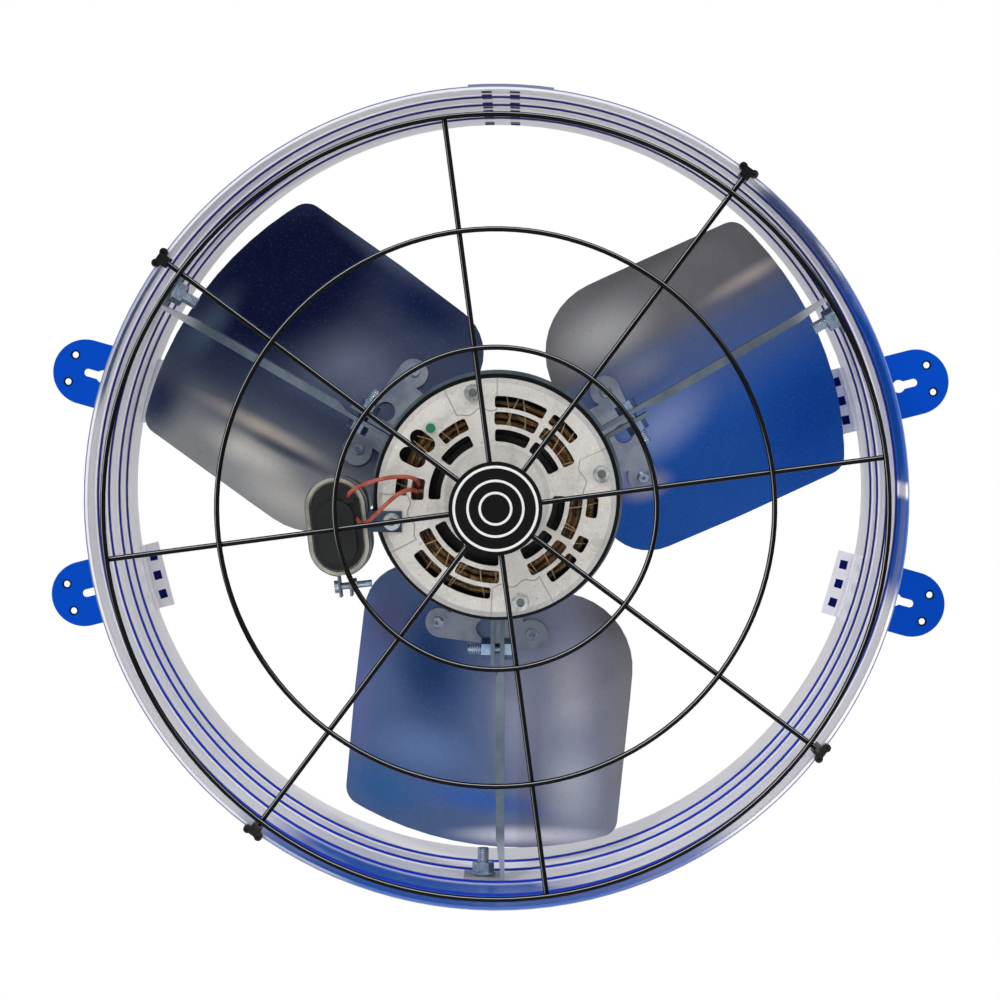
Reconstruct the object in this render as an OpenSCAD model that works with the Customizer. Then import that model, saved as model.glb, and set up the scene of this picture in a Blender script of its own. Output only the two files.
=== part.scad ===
// Gable attic fan: a ribbed round shroud on four keyhole ears, a wire guard, and a
// capacitor-run motor on three strap arms that turns a three-blade riveted fan.
// Frame: the fan's axis runs along Y, the guard side faces -Y, +Z is up, and the origin
// is the centre of the keyhole pattern on the back faces of the ears. Millimetres.

/* [Shroud] */
// Outer diameter of the shroud
shroud_d = 457; // [430:1:500]
// Depth of the shroud from front rim to back rim
shroud_depth = 210; // [200:1:240]
// Thickness of the shroud's sheet
sheet_t = 1; // [0.8:0.1:1.4]
// Width of the folded hem at the front rim
hem_w = 9; // [6:0.5:12]
// Height of each rolled bead
bead_h = 1.8; // [1:0.1:3]
// Half width of each rolled bead
bead_half_w = 3; // [2:0.1:4]
// Radial depth of the clinched dimples
clinch_depth = 0.5; // [0.3:0.1:0.6]

/* [Ears] */
// Angle of each ear above or below the horizontal
ear_angle = 15; // [12:0.5:24]
// Thickness of an ear
ear_t = 1.6; // [1.2:0.1:2.5]
// Width of an ear
ear_w = 41; // [34:0.5:46]
// Distance from the shroud's wall to the centre of an ear's round end
ear_reach = 41.5; // [39.5:0.5:51.5]
// Length of the leg that an ear has inside the shroud
ear_leg = 12; // [8:0.5:16]
// Reach of an ear inward of the shroud's wall
ear_lip = 11; // [8:0.5:12]
// Diameter of the keyhole's round lobe
key_lobe_d = 8; // [7:0.1:10]
// Width of the keyhole's slot
key_slot_w = 4.8; // [4:0.1:5.5]
// Distance from the shroud's wall to the keyhole's lobe
key_reach = 30.5; // [27.5:0.5:33.5]
// Length of the keyhole's slot, lobe centre to slot end centre
key_slot_len = 9.5; // [8:0.5:12]
// Diameter of the small screw holes
ear_hole_d = 4; // [3:0.1:4.5]
// Distance from the shroud's wall to the small screw holes
ear_hole_reach = 50.5; // [48.5:0.5:52.5]
// Distance between the two small screw holes of an ear
ear_hole_gap = 17.4; // [14:0.2:20]

/* [Guard] */
// Diameter of the guard's wire
wire_d = 3; // [2.5:0.1:3.6]
// Distance from the shroud's wall in to the guard's outer ring
ring_inset = 11.5; // [11:0.5:23]
// Radius of the guard's middle ring
ring_mid_r = 154; // [140:1:170]
// Radius of the guard's inner ring
ring_inner_r = 89; // [76:1:100]
// Angle of the first spoke
spoke_angle = 8.2; // [5:0.1:12]
// How far the guard hangs below the shroud's axis
guard_drop = 4.5; // [0:0.1:5]
// Radius of the badge plate
badge_r = 26; // [22:0.5:32]
// Thickness of the badge plate
badge_t = 2.2; // [1.6:0.1:3]

/* [Motor] */
// Distance from the front rim to the face of the front end bell
motor_depth = 39; // [36:0.5:44]
// Radius of the cast end bells
bell_r = 68; // [67:0.1:69]
// Outer radius of the motor's shell
shell_r = 70.6; // [69.8:0.1:72]
// Length of the motor from bell face to bell face
motor_len = 86; // [84:0.5:90]
// Length of the shell
shell_len = 58; // [54:0.5:60]
// Wall of the cast end bells
bell_wall = 4; // [3:0.1:4.5]
// Radius of the through bolts' circle
through_r = 61; // [60.5:0.1:61.5]
// Angle of the first through bolt
through_angle = 13.5; // [10:0.5:17]
// Diameter of the through bolts
through_d = 4.6; // [4:0.1:5]
// Width across flats of the through bolts' nuts
through_nut_af = 8; // [7:0.1:9]
// Thickness of the through bolts' nuts
through_nut_t = 3.4; // [2.6:0.1:4]
// Radius of the bearing boss on a bell
boss_r = 29; // [24:0.5:30]
// Outer radius of the bearings
bearing_r = 16; // [14:0.5:18]
// Length of a bearing
bearing_len = 10; // [8:0.5:11]
// Diameter of the motor's shaft
shaft_d = 12.7; // [11:0.1:13.5]
// Bore radius of the stator core
stator_bore_r = 36; // [34:0.1:37]
// Length of the stator core
stator_len = 26; // [22:0.5:28]

/* [Winding] */
// Diameter of the wound bundle
coil_d = 3; // [2.4:0.1:3.1]
// Radius of the innermost turn
coil_in_r = 41.5; // [41:0.1:42]
// Step from turn to turn and from layer to layer
coil_step = 3.9; // [3.8:0.1:4.1]

/* [Arms] */
// Width of the strap that an arm is bent from
strap_w = 25; // [20:0.5:26]
// Thickness of the strap
strap_t = 2.5; // [2:0.1:3]
// Distance from the front rim to the middle of the straps
strap_depth = 96; // [90:0.5:98]
// Angle of the first arm
arm_angle = 30.7; // [26:0.1:34]
// Length of an arm's foot along the shroud wall
foot_len = 20; // [18:0.5:24]
// Distance from the fan's axis to the clamp bolts
clamp_r = 91; // [86:0.5:96]
// Gap between the two plates of a clamp
clamp_gap = 3; // [2:0.1:4]

/* [Fasteners] */
// Diameter of the quarter-inch bolts
bolt_d = 6.35; // [5.5:0.05:6.8]
// Width across flats of their nuts and heads
nut_af = 11.1; // [10:0.1:12.7]
// Thickness of the nuts and heads
nut_t = 5.5; // [4:0.1:6.5]
// Length of the foot bolts under the head
foot_bolt_len = 20; // [16:0.5:24]

/* [Capacitor] */
// Gap between the motor's shell and the capacitor's strap
cap_gap = 2.2; // [2:0.1:6]
// Distance of the capacitor's axis below the fan's axis
cap_drop = 18; // [14:0.5:22]
// Width of the capacitor's oval can
cap_w = 34; // [30:0.5:35]
// Height of the capacitor's oval can
cap_h = 56; // [50:0.5:60]
// Length of the capacitor's can
cap_len = 56; // [50:0.5:60]
// Tilt of the can
cap_tilt = 7; // [4:0.5:9]
// Width of the capacitor's steel strap
cap_strap_w = 14; // [10:0.5:18]
// Thickness of the bracket that carries the capacitor
tab_t = 1.6; // [1.2:0.1:2]
// Width of the bracket
tab_w = 12; // [10:0.5:16]
// Thickness of the capacitor's steel strap
cap_strap_t = 1.2; // [1:0.1:1.5]
// Diameter of the lead wires
lead_d = 2.4; // [2:0.1:3]

/* [Fan] */
// Radius of the blade tips
tip_r = 216; // [208:0.5:220]
// Pitch of the blades at mid chord
pitch = 25; // [20:0.5:26]
// Height of the blades' camber
camber = 9; // [5:0.5:10]
// Thickness of a blade
blade_t = 1.2; // [1:0.1:1.6]
// Distance from the motor's back to the middle of the blades
blade_gap = 37; // [34:0.5:40]
// Reach of a blade on its leading side at the root
lead_root_w = 90; // [84:0.5:92]
// Reach of a blade on its leading side at the tip
lead_tip_w = 89; // [80:0.5:91]
// Reach of a blade on its trailing side at the tip
trail_w = 78.5; // [74:0.5:84]
// Reach of a blade on its trailing side at the root
trail_root_w = 76; // [70:0.5:80]
// Distance from the fan's axis to a blade's straight root edge
root_r = 60; // [58:0.5:66]
// Angle of the first blade
blade_angle = 25.5; // [0:0.5:60]
// Thickness of the spider
spider_t = 2; // [1.5:0.1:2.5]
// Distance from the fan's axis to the rivets
rivet_r = 84; // [80:0.5:88]
// Half the distance between the two rivets of a blade
rivet_half_gap = 28.5; // [26:0.5:30]
// Diameter of the rivets
rivet_d = 5; // [4:0.1:6]
// Radius of the hub's barrel
hub_r = 16; // [14:0.5:18]
// Length of the hub's barrel
hub_len = 24; // [20:0.5:28]

/* [Fits] */
// Running clearance between shaft and bearing
run_gap = 0.04; // [0.02:0.01:0.08]
// Gap between pieces that rest on each other
seat_gap = 0.05; // [0.03:0.01:0.1]
// Clearance of a bolt in its hole
bolt_gap = 0.3; // [0.1:0.05:0.5]
// Air gap between stator and rotor core
air_gap = 0.5; // [0.3:0.1:0.8]

/* [Hidden] */
$fn = 64;

// The front rim's plane and the shroud's wall
front_y = -(shroud_depth + ear_t);
out_r = shroud_d / 2;
in_r = out_r - sheet_t;
hem_in_r = in_r - sheet_t;
wall_gap = 0.12;
ring_outer_r = out_r - ring_inset;
ear_end_r = out_r + ear_reach;
key_r = out_r + key_reach;
ear_hole_r = out_r + ear_hole_reach;
bead_places = [0.18, 0.38, 0.58, 0.73];
arm_turns = [arm_angle, arm_angle + 120, arm_angle + 240];
blade_turns = [blade_angle, blade_angle + 120, blade_angle + 240];

// Motor sizes that follow from the driving ones
bell_front = motor_depth;
bell_back = motor_depth + motor_len;
blade_depth = bell_back + blade_gap;
shell_front = bell_front + (motor_len - shell_len) / 2;
shell_back = shell_front + shell_len;
shell_in_r = bell_r + seat_gap;
skirt_lap = 4;
bell_edge = 3;
cavity_r = bell_r - bell_wall;
core_front = (bell_front + bell_back) / 2 - stator_len / 2;
core_back = core_front + stator_len;
coil_layers = 4;
coil_turns = 4;
coil_end_gap = 0.6;
coil_stack = (coil_layers - 1) * coil_step + coil_d;
wound_out_r = coil_in_r + (coil_turns - 0.5) * coil_step + coil_d / 2;
strap_inner_r = shell_r + seat_gap;
post_r = through_r - wound_out_r - 0.4;
slot_inner = [31.9, 38.9];
slot_middle = [41.5, 48.8];
slot_outer = [51.2, 57.8];

// The arc that rounds the corner p1 between its neighbours, with its ends on both sides
fillet_parts = 9;
function fillet(p0, p1, p2, r) = let (
    a = (p0 - p1) / norm(p0 - p1), b = (p2 - p1) / norm(p2 - p1), half = acos(a * b) / 2,
    c = p1 + (a + b) / norm(a + b) * r / sin(half), s = p1 + a * r / tan(half) - c,
    e = p1 + b * r / tan(half) - c, a0 = atan2(s[1], s[0]),
    turn = (atan2(e[1], e[0]) - a0 + 540) % 360 - 180)
    [for (i = [0:fillet_parts]) let (a = a0 + turn * i / fillet_parts) c + r * [cos(a), sin(a)]];

// A polygon whose corners have the given radii, 0 for a sharp one
module rounded(points, radii) {
    n = len(points);
    polygon([for (i = [0:n - 1]) each radii[i] == 0 ? [points[i]]
        : fillet(points[(i + n - 1) % n], points[i], points[(i + 1) % n], radii[i])]);
}

// Turns what is drawn along +X to an angle seen from the guard side
module polar(a) {
    rotate([0, -a, 0]) children();
}

// A flat drawing in X and Z, solid between two depths behind the front rim
module slab(d0, d1) {
    translate([0, front_y + d1, 0]) rotate([90, 0, 0]) linear_extrude(d1 - d0) children();
}

// A profile of radius and depth turned about the fan's axis
module turned() {
    translate([0, front_y, 0]) rotate([-90, 0, 0]) rotate_extrude($fn = 128) children();
}

// The same between two angles
module turned_arc(a0, a1) {
    polar(a1) translate([0, front_y, 0]) rotate([-90, 0, 0])
        rotate_extrude(angle = a1 - a0, $fn = 128) children();
}

// A rectangle of radius and depth
module band(r0, r1, d0, d1) {
    translate([r0, d0]) square([r1 - r0, d1 - d0]);
}

// A flat ring's part between two angles
module arc_band(r0, r1, a0, a1) {
    far = 2 * r1;
    intersection() {
        difference() {
            circle(r = r1, $fn = 256);
            circle(r = r0, $fn = 256);
        }
        polygon(concat([[0, 0]], [
            for (i = [0:4]) let (a = a0 + (a1 - a0) * i / 4) [far * cos(a), far * sin(a)]
        ]));
    }
}

// A rod along the fan's axis
module rod(r, d0, d1) {
    translate([0, front_y + d0, 0]) rotate([-90, 0, 0]) cylinder(r = r, h = d1 - d0);
}

// A hexagonal prism along +Z
module hexagon(h) {
    cylinder(d = nut_af / cos(30), h = h, $fn = 6);
}

// Shroud
module bead_profile(d) {
    polygon([
        [in_r + 0.01, d - bead_half_w], [in_r - bead_h, d - bead_half_w / 3],
        [in_r - bead_h, d + bead_half_w / 3], [in_r + 0.01, d + bead_half_w]
    ]);
}

clinch_places = [0.085, 0.245, 0.48, 0.655, 0.8, 0.945];
clinch_w = 5.4;
clinch_len = 17;

module clinch_pocket(a, d, w, l) {
    polar(a) translate([in_r - 1, front_y + d - l / 2, -w / 2]) cube([1 + clinch_depth, l, w]);
}

module foot_hole(a, r0, r1) {
    polar(a) translate([r0, front_y + strap_depth, -foot_bolt_turn]) rotate([0, 90, 0])
        cylinder(d = bolt_d + 2 * bolt_gap, h = r1 - r0);
}

// Sideways distance from an arm's line to its foot bolt
foot_bolt_turn = foot_len * 0.425;

module shroud() {
    lap_from = 82.7;
    lap_to = 94.6;
    color([0.78, 0.79, 0.84]) difference() {
        union() {
            turned() union() {
                band(in_r, out_r, 0, shroud_depth);
                band(hem_in_r, in_r + 0.01, 0, hem_w);
                for (f = bead_places) bead_profile(f * shroud_depth);
            }
            turned_arc(lap_from, lap_to) band(out_r - 0.01, out_r + sheet_t, 0, shroud_depth);
        }
        for (a = [88.1, 92.1], f = clinch_places) clinch_pocket(a, f * shroud_depth, clinch_w, clinch_len);
        for (a = arm_turns) foot_hole(a, in_r - 4, out_r + 4);
    }
}

// Ears
lip_clinch_l = 4.6;
lip_clinch_gap = ear_w * 0.3;
lip_clinch_r = in_r - (ear_lip + lip_clinch_l) / 2;

module ear(a) {
    leg_out_r = in_r - wall_gap;
    leg_in_r = leg_out_r - ear_t;
    half = asin(ear_w / 2 / leg_out_r);
    color([0.05, 0.28, 0.78]) difference() {
        union() {
            polar(a) slab(shroud_depth, shroud_depth + ear_t) union() {
                translate([in_r - ear_lip, -ear_w / 2]) square([ear_end_r - in_r + ear_lip, ear_w]);
                translate([ear_end_r, 0]) circle(d = ear_w);
            }
            turned_arc(a - half, a + half)
                band(leg_in_r, leg_out_r, shroud_depth - ear_leg, shroud_depth + ear_t);
        }
        polar(a) slab(shroud_depth - 1, shroud_depth + ear_t + 1) union() {
            translate([key_r, 0]) circle(d = key_lobe_d);
            translate([key_r, -key_slot_w / 2]) square([key_slot_len, key_slot_w]);
            translate([key_r + key_slot_len, 0]) circle(d = key_slot_w);
            for (s = [-1, 1]) translate([ear_hole_r, s * ear_hole_gap / 2]) circle(d = ear_hole_d);
        }
        for (s = [-1, 0, 1]) polar(a)
            translate([lip_clinch_r, front_y + shroud_depth - 1, s * lip_clinch_gap - clinch_w / 2])
                cube([lip_clinch_l, 1 + clinch_depth, clinch_w]);
    }
}

module ear_upper_right() { ear(ear_angle); }
module ear_upper_left() { ear(180 - ear_angle); }
module ear_lower_left() { ear(180 + ear_angle); }
module ear_lower_right() { ear(-ear_angle); }

// Guard: the spokes lie on the hem and the rings lie on the spokes
guard_x = -0.3;
wire_r = wire_d / 2;
spoke_depth = -(wire_r + seat_gap);
ring_depth = spoke_depth - wire_d - seat_gap;
spoke_start = 10;
long_spoke_turn = 45.7;
clip_reach = 1.2;
clip_in = 4;
clip_w = 6;
clip_wall = 1.4;
clip_lobe_r = 2.3;
clip_lobe_gap = 3.7;
clip_lobe_reach = 1.2;

// Distance from the guard's centre to the middle of the hem along an angle
function rim_reach(a) = let (
    rim = (hem_in_r + out_r) / 2,
    along = guard_x * cos(a) - guard_drop * sin(a),
    off2 = guard_x * guard_x + guard_drop * guard_drop
) sqrt(rim * rim - off2 + along * along) - along;

module guard_place() {
    translate([guard_x, 0, -guard_drop]) children();
}

module guard_ring(r) {
    color([0.03, 0.03, 0.03]) guard_place() turned() translate([r, ring_depth]) circle(r = wire_r, $fn = 32);
}

module spoke(a, len) {
    guard_place() polar(a) translate([spoke_start, front_y + spoke_depth, 0]) rotate([0, 90, 0])
        cylinder(r = wire_r, h = len - spoke_start, $fn = 32);
}

module guard_ring_outer() { guard_ring(ring_outer_r); }
module guard_ring_middle() { guard_ring(ring_mid_r); }
module guard_ring_inner() { guard_ring(ring_inner_r); }

module guard_spokes_long() {
    color([0.03, 0.03, 0.03]) for (i = [0:3]) {
        a = spoke_angle + long_spoke_turn + 90 * i;
        spoke(a, rim_reach(a) + clip_reach);
    }
}

module guard_spokes_short() {
    color([0.03, 0.03, 0.03]) for (i = [0:3]) spoke(spoke_angle + 90 * i, ring_outer_r + wire_r);
}

module guard_badge_plate() {
    color([0.03, 0.03, 0.03]) guard_place()
        slab(spoke_depth - wire_r - seat_gap - badge_t, spoke_depth - wire_r - seat_gap) circle(r = badge_r);
}

// A spring clip: it hooks over the rim's hem, with a lobe on both sides of the spoke's end
module guard_clip(a) {
    reach = rim_reach(a);
    top = spoke_depth - wire_r - seat_gap - clip_wall;
    rim_half = sheet_t + seat_gap + 0.4;
    guard_place() polar(a) difference() {
        slab(top, hem_w - 1) union() {
            translate([reach - clip_in, -clip_w / 2]) square([clip_in + clip_reach + clip_wall, clip_w]);
            for (s = [-1, 1]) translate([reach + clip_lobe_reach, s * clip_lobe_gap])
                circle(r = clip_lobe_r, $fn = 32);
        }
        translate([reach - rim_half, front_y - seat_gap, -2 * clip_w])
            cube([2 * rim_half, hem_w, 4 * clip_w]);
        translate([0, front_y + spoke_depth, 0]) rotate([0, 90, 0])
            cylinder(r = wire_r + seat_gap, h = reach + clip_reach + seat_gap, $fn = 32);
        translate([0, front_y + spoke_depth, -wire_r - seat_gap])
            cube([reach + clip_reach + seat_gap, -spoke_depth, wire_d + 2 * seat_gap]);
        for (s = [-1, 1]) translate([reach + clip_lobe_reach, front_y + top - 1, s * clip_lobe_gap])
            rotate([-90, 0, 0]) cylinder(r = clip_lobe_r / 3, h = 3, $fn = 24);
    }
}

module guard_clips() {
    color([0.05, 0.05, 0.05]) for (i = [0:3]) guard_clip(spoke_angle + long_spoke_turn + 90 * i);
}

// Arms: each strap has a third of the motor's band, a radial run, and a foot on the wall
strap_d0 = strap_depth - strap_w / 2;
strap_d1 = strap_depth + strap_w / 2;
foot_out_r = in_r - wall_gap;
foot_in_r = foot_out_r - strap_t;
plate_shift = clamp_gap / 2;
lug_len = 28;
rib_t = 2.4;
rib_taper = 12;

module strap_hole(r) {
    translate([r, front_y + strap_depth, -20]) cylinder(d = bolt_d + 2 * bolt_gap, h = 40);
}

module arm(a) {
    bend_z = plate_shift + strap_t / 2;
    run_in = sqrt(pow(strap_inner_r + strap_t / 2, 2) - bend_z * bend_z);
    run_out = sqrt(pow(foot_in_r + strap_t / 2, 2) - bend_z * bend_z);
    band_edge = asin(bend_z / strap_inner_r);
    foot_edge = asin(bend_z / foot_in_r);
    foot_turn = foot_len / foot_out_r * 180 / PI;
    rib_in = strap_inner_r + lug_len + 2;
    color([0.62, 0.65, 0.68]) difference() {
        polar(a) slab(strap_d0, strap_d1) union() {
            polygon([
                [run_in, plate_shift], [rib_in, plate_shift], [rib_in + rib_taper / 2, plate_shift - rib_t],
                [run_out - 2 * rib_taper, plate_shift - rib_t], [run_out - rib_taper / 2, plate_shift],
                [run_out, plate_shift], [run_out, plate_shift + strap_t], [run_in, plate_shift + strap_t]
            ]);
            arc_band(strap_inner_r, strap_inner_r + strap_t, band_edge, 120 - band_edge);
            rotate(120) translate([run_in, -plate_shift - strap_t]) square([lug_len, strap_t]);
            arc_band(foot_in_r, foot_out_r, -foot_turn, foot_edge);
        }
        polar(a) strap_hole(clamp_r);
        polar(a + 120) strap_hole(clamp_r);
        foot_hole(a, foot_in_r - 4, foot_out_r + 4);
    }
}

module arm_right() { arm(arm_turns[0]); }
module arm_left() { arm(arm_turns[1]); }
module arm_bottom() { arm(arm_turns[2]); }

// A foot bolt lies along the radius, with its head outside the wall and its nut inside
module foot_bolts() {
    color([0.72, 0.75, 0.78]) for (a = arm_turns) polar(a)
        translate([out_r + 0.3, front_y + strap_depth, -foot_bolt_turn]) union() {
            rotate([0, 90, 0]) hexagon(nut_t);
            rotate([0, -90, 0]) cylinder(d = bolt_d, h = foot_bolt_len);
        }
}

module foot_nuts() {
    nut_seat = foot_in_r - 0.9;
    color([0.72, 0.75, 0.78]) for (a = arm_turns) polar(a) difference() {
        translate([nut_seat, front_y + strap_depth, -foot_bolt_turn]) rotate([0, -90, 0]) union() {
            cylinder(d = nut_af * 1.3, h = 1.2);
            hexagon(nut_t + 1.2);
        }
        translate([nut_seat + 1, front_y + strap_depth, -foot_bolt_turn]) rotate([0, -90, 0])
            cylinder(d = bolt_d + 2 * seat_gap, h = nut_t + 4);
    }
}

// A clamp bolt crosses the radius: head on the arm, nut and thread on the lug
clamp_head = plate_shift + strap_t + seat_gap;

module clamp_bolts() {
    color([0.72, 0.75, 0.78]) for (a = arm_turns) polar(a)
        translate([clamp_r, front_y + strap_depth, clamp_head]) union() {
            hexagon(nut_t);
            mirror([0, 0, 1]) cylinder(d = bolt_d, h = 2 * clamp_head + nut_t + 8);
        }
}

module clamp_nuts() {
    color([0.55, 0.62, 0.7]) for (a = arm_turns) polar(a)
        translate([clamp_r, front_y + strap_depth, -clamp_head]) mirror([0, 0, 1]) difference() {
            hexagon(nut_t);
            translate([0, 0, -1]) cylinder(d = bolt_d + 2 * seat_gap, h = nut_t + 2);
        }
}

// Motor
module motor_shell() {
    color([0.05, 0.05, 0.06]) turned() band(shell_in_r, shell_r, shell_front, shell_back);
}

// A slot between two radii and two angles, with rounded corners
module vent(ring, a0, a1) {
    mid = (ring[0] + ring[1]) / 2;
    inset = asin(1.6 / mid);
    offset(r = 1.5, $fn = 16) intersection() {
        difference() {
            circle(r = ring[1] - 1.5, $fn = 128);
            circle(r = ring[0] + 1.5, $fn = 128);
        }
        polygon(concat([[0, 0]], [for (i = [0:6]) let (a = a0 + inset + (a1 - a0 - 2 * inset) * i / 6)
            [bell_r * 1.3 * cos(a), bell_r * 1.3 * sin(a)]]));
    }
}

// Where the outer ring's vents start and stop, counted from the first through bolt
outer_vents = [[23.5, 43], [47, 78.5], [155, 166], [201.5, 220.5], [224.5, 253.5],
    [290, 310], [313.5, 323], [335, 347.5]];
oval_vents = [129.8, 141.5];
oval_vent_r = 4.6;
oval_vent_len = 6.5;

module bell_vents() {
    for (q = [0:3]) {
        a = through_angle + 90 * q;
        vent(slot_inner, a + 11, a + 43);
        vent(slot_inner, a + 47, a + 79);
        if (q != 1) vent(slot_middle, a + 11, a + 43);
        if (q == 1) vent(slot_middle, a + 9, a + 31);
        if (q != 1) vent(slot_middle, a + 47, a + 79);
        if (q == 1) vent(slot_middle, a + 63, a + 79);
    }
    for (v = outer_vents) vent(slot_outer, through_angle + v[0], through_angle + v[1]);
    for (v = oval_vents) rotate(through_angle + v) union() {
        translate([slot_middle[1] + 1, 0]) circle(r = oval_vent_r, $fn = 32);
        translate([slot_middle[1] + 1, -oval_vent_r]) square([oval_vent_len, 2 * oval_vent_r]);
        translate([slot_middle[1] + 1 + oval_vent_len, 0]) circle(r = oval_vent_r, $fn = 32);
    }
}

module through_holes(r, d0, d1) {
    for (q = [0:3]) polar(through_angle + 90 * q) translate([through_r, 0, 0]) rod(r, d0, d1);
}

ground_place = [-38, 39];

module end_bell_front() {
    color([0.8, 0.8, 0.79]) difference() {
        union() {
            turned() difference() {
                polygon([
                    [0, bell_front - 4], [boss_r - 2, bell_front - 4], [boss_r, bell_front - 2],
                    [boss_r + 1, bell_front], [bell_r - bell_edge, bell_front],
                    [bell_r, bell_front + bell_edge], [bell_r, shell_front + skirt_lap],
                    [0, shell_front + skirt_lap]
                ]);
                polygon([
                    [-1, bell_front + bell_wall], [cavity_r, bell_front + bell_wall],
                    [cavity_r, shell_front + skirt_lap + 1], [-1, shell_front + skirt_lap + 1]
                ]);
            }
            turned() band(0, bearing_r + 4, bell_front, bell_front + bearing_len);
            for (q = [0:3]) polar(through_angle + 90 * q) translate([through_r, 0, 0])
                rod(post_r, bell_front + bell_wall - 1, shell_front + skirt_lap - 1);
        }
        slab(bell_front - 1, bell_front + bell_wall + 1) bell_vents();
        rod(bearing_r + seat_gap, bell_front, bell_front + bearing_len + 1);
        through_holes(through_d / 2 + bolt_gap, bell_front - 5, shell_front + skirt_lap + 1);
        translate([ground_place[0], 0, ground_place[1]]) rod(2, bell_front - 1, bell_front + bell_wall + 1);
    }
}

module end_bell_rear() {
    color([0.78, 0.78, 0.77]) difference() {
        union() {
            turned() difference() {
                polygon([
                    [0, bell_back + 9], [22, bell_back + 9], [25, bell_back],
                    [bell_r - bell_edge, bell_back], [bell_r, bell_back - bell_edge],
                    [bell_r, shell_back - skirt_lap], [0, shell_back - skirt_lap]
                ]);
                polygon([
                    [-1, bell_back - bell_wall], [cavity_r, bell_back - bell_wall],
                    [cavity_r, shell_back - skirt_lap - 1], [-1, shell_back - skirt_lap - 1]
                ]);
            }
            for (q = [0:3]) polar(through_angle + 90 * q) translate([through_r, 0, 0])
                rod(post_r, shell_back - skirt_lap + 1, bell_back - bell_wall + 1);
        }
        rod(bearing_r + seat_gap, bell_back - 10, bell_back - bell_wall + 1 + bearing_len);
        rod(shaft_d / 2 + 1, bell_back - 10, bell_back + 10);
        through_holes(through_d / 2 + bolt_gap, shell_back - 10, bell_back + 1);
        for (q = [0:7]) polar(45 * q + through_angle + 22) slab(bell_back - bell_wall - 1, bell_back + 1)
            translate([44, 0]) circle(r = 6, $fn = 32);
    }
}

module stator_core() {
    color([0.3, 0.3, 0.32]) difference() {
        turned() band(stator_bore_r, shell_in_r - seat_gap, core_front, core_back);
        through_holes(through_d / 2 + bolt_gap, core_front - 1, core_back + 1);
    }
}

// The front winding is one bundle that spirals in and out through its layers
coil_sides = 6;
coil_rings = 24;
coil_count = coil_layers * coil_turns * coil_rings;

// How far out the spiral is after t turns: it reverses at the end of each layer
function coil_out(t) = let (layer = floor(t / coil_turns), part = t - layer * coil_turns)
    layer % 2 == 0 ? min(part, coil_turns - 0.5) : max(coil_turns - 0.5 - part, 0);
function coil_layer(t) = let (layer = floor(t / coil_turns), part = t - layer * coil_turns)
    layer + max(0, (part - coil_turns + 0.5) * 2);
function coil_r(t) = coil_in_r + coil_step * coil_out(t);
function coil_depth(t) =
    core_front - coil_end_gap - coil_d / 2 - coil_step * min(coil_layer(t), coil_layers - 1);
function coil_point(t) = [
    coil_r(t) * cos(360 * t), front_y + coil_depth(t), coil_r(t) * sin(360 * t)];
function coil_ring(t) = [for (k = [0:coil_sides - 1]) let (
    r = coil_r(t) + coil_d / 2 * cos(60 * k), d = coil_depth(t) + coil_d / 2 * sin(60 * k))
    [r * cos(360 * t), front_y + d, r * sin(360 * t)]];

module winding_front() {
    last = coil_count - 12;
    points = [for (i = [0:last]) each coil_ring(i / coil_rings)];
    sides = [for (i = [0:last - 1], k = [0:coil_sides - 1]) let (
        a = i * coil_sides + k, b = i * coil_sides + (k + 1) % coil_sides)
        each [[a, b, b + coil_sides], [a, b + coil_sides, a + coil_sides]]];
    first_cap = [for (k = [1:coil_sides - 2]) [0, k + 1, k]];
    end0 = last * coil_sides;
    last_cap = [for (k = [1:coil_sides - 2]) [end0, end0 + k, end0 + k + 1]];
    color([0.6, 0.38, 0.16]) polyhedron(points, concat(sides, first_cap, last_cap));
}

// Least distance between the bundle's centre lines one turn or more apart, less its diameter
coil_least = min([for (i = [0:4:coil_count - 13], j = [i + coil_rings - 4:2:coil_count - 13])
    norm(coil_point(i / coil_rings) - coil_point(j / coil_rings))]) - coil_d;
echo(winding_least_gap = coil_least);

module winding_rear() {
    color([0.6, 0.38, 0.16]) turned()
        band(coil_in_r - coil_d / 2, wound_out_r,
             core_back + coil_end_gap, core_back + coil_end_gap + coil_stack);
}

module bearing(d0) {
    color([0.7, 0.72, 0.75]) turned()
        band(shaft_d / 2 + run_gap, bearing_r, d0, d0 + bearing_len - 0.5);
}

module bearing_front() { bearing(bell_front + 0.3); }
module bearing_rear() { bearing(bell_back - bell_wall + 1); }

module through_bolts() {
    color([0.75, 0.77, 0.78]) for (q = [0:3]) polar(through_angle + 90 * q)
        translate([through_r, 0, 0]) union() {
            rod(through_d / 2, bell_front - tab_t - through_nut_t - 1, bell_back + 0.5);
            rod(through_d * 0.85, bell_back + seat_gap, bell_back + 0.6 * through_d);
        }
}

// Each bolt's nut lies on the bell, and the left one on the capacitor's bracket
module through_nuts() {
    flange_t = 0.9;
    color([0.75, 0.77, 0.78]) for (q = [0:3]) polar(through_angle + 90 * q)
        translate([through_r, front_y + bell_front - seat_gap - (q == 2 ? tab_t + seat_gap : 0), 0])
            rotate([90, 0, 0]) difference() {
                union() {
                    cylinder(d = through_nut_af * 1.25, h = flange_t);
                    cylinder(d = through_nut_af / cos(30), h = through_nut_t, $fn = 6);
                }
                translate([0, 0, -1]) cylinder(r = through_d / 2 + seat_gap, h = through_nut_t + 2);
            }
}

module ground_screw() {
    color([0.05, 0.5, 0.35]) translate([ground_place[0], 0, ground_place[1]]) union() {
        rod(1.7, bell_front - 1, bell_front + bell_wall + 2);
        rod(2.7, bell_front - 2, bell_front - seat_gap);
    }
}

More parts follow.
